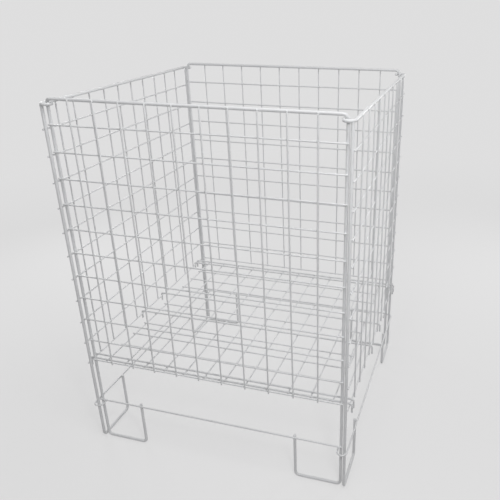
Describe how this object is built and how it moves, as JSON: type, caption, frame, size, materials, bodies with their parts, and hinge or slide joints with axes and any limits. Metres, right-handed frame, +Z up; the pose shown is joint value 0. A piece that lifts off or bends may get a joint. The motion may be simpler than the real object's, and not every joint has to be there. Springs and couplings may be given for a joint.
{
  "type": "wire dump bin",
  "caption": "Free-standing square wire dump bin with an open top: welded mesh panels linked by hooked corners, a hung mesh shelf and bent-rod feet.",
  "frame": {"origin": "middle of the plan at floor level", "axes": "+Z up, the front panel towards -Y, +X to the right of someone facing the front"},
  "size_m": [0.5816, 0.569, 0.7562],
  "materials": {
    "white_coat": "white powder coat, semi-gloss"
  },
  "bodies": {
    "left_panel": {"left_front_upright": "white_coat", "left_back_upright": "white_coat", "left_top_rail": "white_coat", "left_lower_rail": "white_coat", "left_mesh": "white_coat"},
    "front_panel": {"front_left_upright": "white_coat", "front_right_upright": "white_coat", "front_top_rail": "white_coat", "front_lower_rail": "white_coat", "front_mesh": "white_coat"},
    "back_panel": {"back_left_upright": "white_coat", "back_right_upright": "white_coat", "back_top_rail": "white_coat", "back_lower_rail": "white_coat", "back_mesh": "white_coat"},
    "right_panel": {"right_front_upright": "white_coat", "right_back_upright": "white_coat", "right_top_rail": "white_coat", "right_lower_rail": "white_coat", "right_mesh": "white_coat"},
    "shelf": {"shelf_mesh": "white_coat", "shelf_hook_wire_1": "white_coat", "shelf_hook_wire_2": "white_coat", "shelf_hook_wire_3": "white_coat", "shelf_hook_wire_4": "white_coat", "shelf_hook_wire_5": "white_coat", "shelf_hook_wire_6": "white_coat"}
  },
  "joints": [
    {"name": "front_hinge", "type": "hinge", "parent": "left_panel", "child": "front_panel", "pos_m": [-0.271, -0.265, 0.4], "axis": [0, 0, 1], "range_deg": [-0.4, 0.4]},
    {"name": "back_hinge", "type": "hinge", "parent": "left_panel", "child": "back_panel", "pos_m": [-0.271, 0.265, 0.4], "axis": [0, 0, 1], "range_deg": [-0.4, 0.4]},
    {"name": "right_hinge", "type": "hinge", "parent": "front_panel", "child": "right_panel", "pos_m": [0.271, -0.265, 0.4], "axis": [0, 0, 1], "range_deg": [-0.4, 0.4]},
    {"name": "shelf_lift", "type": "slide", "parent": "left_panel", "child": "shelf", "axis": [0, 0, 1], "range_m": [0, 0.04]}
  ],
  "couplings": [
    {"joint": "back_hinge", "follows": "front_hinge", "ratio": 1},
    {"joint": "right_hinge", "follows": "front_hinge", "ratio": -1}
  ]
}
